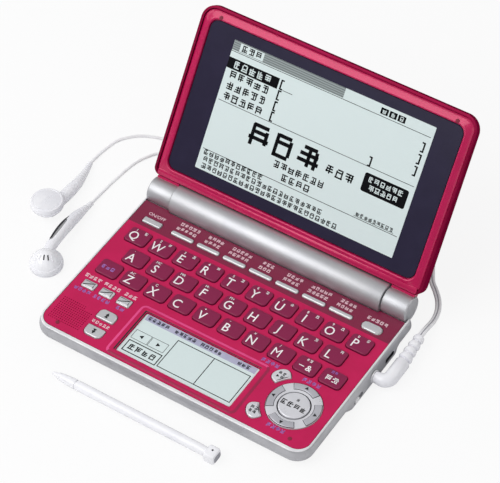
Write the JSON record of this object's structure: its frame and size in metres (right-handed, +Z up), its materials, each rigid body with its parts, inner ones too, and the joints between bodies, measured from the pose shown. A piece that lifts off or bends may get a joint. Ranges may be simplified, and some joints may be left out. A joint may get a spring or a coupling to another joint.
{
  "type": "electronic dictionary",
  "caption": "Red clamshell electronic dictionary with keyboard, pen pad and hinged screen lid, with its touch pen and plugged-in white earphones.",
  "frame": {"origin": "centre of the underside of the base, on the plane that its foot studs stand out of", "axes": "+X to the user's right along the hinge, +Y to the rear, +Z up; the lid stands open at rest"},
  "size_m": [0.2058, 0.1719, 0.0914],
  "materials": {
    "silver_case": "silver paint, satin",
    "red_deck": "crimson metallic paint, semi-gloss",
    "bezel_red": "crimson metallic paint, glossy",
    "lid_red": "deep red, high gloss",
    "letter_keys": "plum red, semi-gloss, printed legends",
    "silver_keys": "silver, satin",
    "mat_rubber": "silicone keypad mat",
    "board": "circuit board with solder mask",
    "pad_screen": "resistive touch panel, satin",
    "switch_plastic": "silver, glossy",
    "cell": "plain cell jacket",
    "smoked_window": "smoked panel, glossy",
    "screen": "colour display module behind the window",
    "white_plastic": "white, glossy",
    "white_cord": "white soft cord jacket, satin"
  },
  "bodies": {
    "base": {"bottom_case": "silver_case", "keyboard_deck": "red_deck", "hinge_barrel": "silver_case", "keypad_mat": "mat_rubber", "main_board": "board", "sub_display": "pad_screen", "batteries": "cell", "twin_lead": "white_cord", "lead_coil": "white_cord", "lead_splitter": "white_plastic", "left_lead": "white_cord", "right_lead": "white_cord", "left_earbud": "white_plastic", "right_earbud": "white_plastic"},
    "lid": {"lid_cover": "lid_red", "lid_bezel": "bezel_red", "display_window": "smoked_window", "main_display": "screen", "hinge_ear_left": "silver_case", "hinge_ear_right": "silver_case"},
    "battery_cover": {"battery_cover": "silver_case"},
    "audio_switch": {"audio_switch": "switch_plastic"},
    "earphone_plug": {"earphone_plug": "white_plastic"},
    "stylus": {"stylus": "white_plastic"},
    "key_q": {"key_q": "letter_keys"},
    "key_w": {"key_w": "letter_keys"},
    "key_e": {"key_e": "letter_keys"},
    "key_r": {"key_r": "letter_keys"},
    "key_t": {"key_t": "letter_keys"},
    "key_y": {"key_y": "letter_keys"},
    "key_u": {"key_u": "letter_keys"},
    "key_i": {"key_i": "letter_keys"},
    "key_o": {"key_o": "letter_keys"},
    "key_p": {"key_p": "letter_keys"},
    "key_a": {"key_a": "letter_keys"},
    "key_s": {"key_s": "letter_keys"},
    "key_d": {"key_d": "letter_keys"},
    "key_f": {"key_f": "letter_keys"},
    "key_g": {"key_g": "letter_keys"},
    "key_h": {"key_h": "letter_keys"},
    "key_j": {"key_j": "letter_keys"},
    "key_k": {"key_k": "letter_keys"},
    "key_l": {"key_l": "letter_keys"},
    "shift_key": {"shift_key": "letter_keys"},
    "key_z": {"key_z": "letter_keys"},
    "key_x": {"key_x": "letter_keys"},
    "key_c": {"key_c": "letter_keys"},
    "key_v": {"key_v": "letter_keys"},
    "key_b": {"key_b": "letter_keys"},
    "key_n": {"key_n": "letter_keys"},
    "key_m": {"key_m": "letter_keys"},
    "symbol_key": {"symbol_key": "letter_keys"},
    "delete_key": {"delete_key": "letter_keys"},
    "power_key": {"power_key": "silver_keys"},
    "page_up_key": {"page_up_key": "silver_keys"},
    "page_down_key": {"page_down_key": "silver_keys"},
    "cursor_ring": {"cursor_ring": "silver_keys"},
    "enter_key": {"enter_key": "silver_keys"},
    "voice_key": {"voice_key": "silver_keys"},
    "back_key": {"back_key": "silver_keys"}
  },
  "joints": [
    {"name": "lid_hinge", "type": "hinge", "parent": "base", "child": "lid", "pos_m": [0, 0.0443, 0.0122], "axis": [1, 0, 0], "range_deg": [-25, 125.4]},
    {"name": "battery_cover_slide", "type": "slide", "parent": "base", "child": "battery_cover", "axis": [0, 1, 0], "range_m": [0, 0.012]},
    {"name": "audio_switch_slide", "type": "slide", "parent": "base", "child": "audio_switch", "axis": [0, 1, 0], "range_m": [0, 0.003]},
    {"name": "earphone_plug_slide", "type": "slide", "parent": "base", "child": "earphone_plug", "axis": [1, 0, 0], "range_m": [0, 0.014]},
    {"name": "stylus_lift", "type": "slide", "parent": "base", "child": "stylus", "axis": [0, 0, 1], "range_m": [0, 0.05]},
    {"name": "key_q_press", "type": "slide", "parent": "base", "child": "key_q", "axis": [0, 0, -1], "range_m": [0, 0.0005], "stiffness_N_per_m": 900, "springref_m": -0.0003},
    {"name": "key_w_press", "type": "slide", "parent": "base", "child": "key_w", "axis": [0, 0, -1], "range_m": [0, 0.0005], "stiffness_N_per_m": 900, "springref_m": -0.0003},
    {"name": "key_e_press", "type": "slide", "parent": "base", "child": "key_e", "axis": [0, 0, -1], "range_m": [0, 0.0005], "stiffness_N_per_m": 900, "springref_m": -0.0003},
    {"name": "key_r_press", "type": "slide", "parent": "base", "child": "key_r", "axis": [0, 0, -1], "range_m": [0, 0.0005], "stiffness_N_per_m": 900, "springref_m": -0.0003},
    {"name": "key_t_press", "type": "slide", "parent": "base", "child": "key_t", "axis": [0, 0, -1], "range_m": [0, 0.0005], "stiffness_N_per_m": 900, "springref_m": -0.0003},
    {"name": "key_y_press", "type": "slide", "parent": "base", "child": "key_y", "axis": [0, 0, -1], "range_m": [0, 0.0005], "stiffness_N_per_m": 900, "springref_m": -0.0003},
    {"name": "key_u_press", "type": "slide", "parent": "base", "child": "key_u", "axis": [0, 0, -1], "range_m": [0, 0.0005], "stiffness_N_per_m": 900, "springref_m": -0.0003},
    {"name": "key_i_press", "type": "slide", "parent": "base", "child": "key_i", "axis": [0, 0, -1], "range_m": [0, 0.0005], "stiffness_N_per_m": 900, "springref_m": -0.0003},
    {"name": "key_o_press", "type": "slide", "parent": "base", "child": "key_o", "axis": [0, 0, -1], "range_m": [0, 0.0005], "stiffness_N_per_m": 900, "springref_m": -0.0003},
    {"name": "key_p_press", "type": "slide", "parent": "base", "child": "key_p", "axis": [0, 0, -1], "range_m": [0, 0.0005], "stiffness_N_per_m": 900, "springref_m": -0.0003},
    {"name": "key_a_press", "type": "slide", "parent": "base", "child": "key_a", "axis": [0, 0, -1], "range_m": [0, 0.0005], "stiffness_N_per_m": 900, "springref_m": -0.0003},
    {"name": "key_s_press", "type": "slide", "parent": "base", "child": "key_s", "axis": [0, 0, -1], "range_m": [0, 0.0005], "stiffness_N_per_m": 900, "springref_m": -0.0003},
    {"name": "key_d_press", "type": "slide", "parent": "base", "child": "key_d", "axis": [0, 0, -1], "range_m": [0, 0.0005], "stiffness_N_per_m": 900, "springref_m": -0.0003},
    {"name": "key_f_press", "type": "slide", "parent": "base", "child": "key_f", "axis": [0, 0, -1], "range_m": [0, 0.0005], "stiffness_N_per_m": 900, "springref_m": -0.0003},
    {"name": "key_g_press", "type": "slide", "parent": "base", "child": "key_g", "axis": [0, 0, -1], "range_m": [0, 0.0005], "stiffness_N_per_m": 900, "springref_m": -0.0003},
    {"name": "key_h_press", "type": "slide", "parent": "base", "child": "key_h", "axis": [0, 0, -1], "range_m": [0, 0.0005], "stiffness_N_per_m": 900, "springref_m": -0.0003},
    {"name": "key_j_press", "type": "slide", "parent": "base", "child": "key_j", "axis": [0, 0, -1], "range_m": [0, 0.0005], "stiffness_N_per_m": 900, "springref_m": -0.0003},
    {"name": "key_k_press", "type": "slide", "parent": "base", "child": "key_k", "axis": [0, 0, -1], "range_m": [0, 0.0005], "stiffness_N_per_m": 900, "springref_m": -0.0003},
    {"name": "key_l_press", "type": "slide", "parent": "base", "child": "key_l", "axis": [0, 0, -1], "range_m": [0, 0.0005], "stiffness_N_per_m": 900, "springref_m": -0.0003},
    {"name": "shift_key_press", "type": "slide", "parent": "base", "child": "shift_key", "axis": [0, 0, -1], "range_m": [0, 0.0005], "stiffness_N_per_m": 900, "springref_m": -0.0003},
    {"name": "key_z_press", "type": "slide", "parent": "base", "child": "key_z", "axis": [0, 0, -1], "range_m": [0, 0.0005], "stiffness_N_per_m": 900, "springref_m": -0.0003},
    {"name": "key_x_press", "type": "slide", "parent": "base", "child": "key_x", "axis": [0, 0, -1], "range_m": [0, 0.0005], "stiffness_N_per_m": 900, "springref_m": -0.0003},
    {"name": "key_c_press", "type": "slide", "parent": "base", "child": "key_c", "axis": [0, 0, -1], "range_m": [0, 0.0005], "stiffness_N_per_m": 900, "springref_m": -0.0003},
    {"name": "key_v_press", "type": "slide", "parent": "base", "child": "key_v", "axis": [0, 0, -1], "range_m": [0, 0.0005], "stiffness_N_per_m": 900, "springref_m": -0.0003},
    {"name": "key_b_press", "type": "slide", "parent": "base", "child": "key_b", "axis": [0, 0, -1], "range_m": [0, 0.0005], "stiffness_N_per_m": 900, "springref_m": -0.0003},
    {"name": "key_n_press", "type": "slide", "parent": "base", "child": "key_n", "axis": [0, 0, -1], "range_m": [0, 0.0005], "stiffness_N_per_m": 900, "springref_m": -0.0003},
    {"name": "key_m_press", "type": "slide", "parent": "base", "child": "key_m", "axis": [0, 0, -1], "range_m": [0, 0.0005], "stiffness_N_per_m": 900, "springref_m": -0.0003},
    {"name": "symbol_key_press", "type": "slide", "parent": "base", "child": "symbol_key", "axis": [0, 0, -1], "range_m": [0, 0.0005], "stiffness_N_per_m": 900, "springref_m": -0.0003},
    {"name": "delete_key_press", "type": "slide", "parent": "base", "child": "delete_key", "axis": [0, 0, -1], "range_m": [0, 0.0005], "stiffness_N_per_m": 900, "springref_m": -0.0003},
    {"name": "power_key_press", "type": "slide", "parent": "base", "child": "power_key", "axis": [0, 0, -1], "range_m": [0, 0.0005], "stiffness_N_per_m": 900, "springref_m": -0.0003},
    {"name": "page_up_key_press", "type": "slide", "parent": "base", "child": "page_up_key", "axis": [0, 0, -1], "range_m": [0, 0.0005], "stiffness_N_per_m": 900, "springref_m": -0.0003},
    {"name": "page_down_key_press", "type": "slide", "parent": "base", "child": "page_down_key", "axis": [0, 0, -1], "range_m": [0, 0.0005], "stiffness_N_per_m": 900, "springref_m": -0.0003},
    {"name": "cursor_ring_press", "type": "slide", "parent": "base", "child": "cursor_ring", "axis": [0, 0, -1], "range_m": [0, 0.0005], "stiffness_N_per_m": 900, "springref_m": -0.0003},
    {"name": "enter_key_press", "type": "slide", "parent": "base", "child": "enter_key", "axis": [0, 0, -1], "range_m": [0, 0.0005], "stiffness_N_per_m": 900, "springref_m": -0.0003},
    {"name": "voice_key_press", "type": "slide", "parent": "base", "child": "voice_key", "axis": [0, 0, -1], "range_m": [0, 0.0005], "stiffness_N_per_m": 900, "springref_m": -0.0003},
    {"name": "back_key_press", "type": "slide", "parent": "base", "child": "back_key", "axis": [0, 0, -1], "range_m": [0, 0.0005], "stiffness_N_per_m": 900, "springref_m": -0.0003}
  ]
}
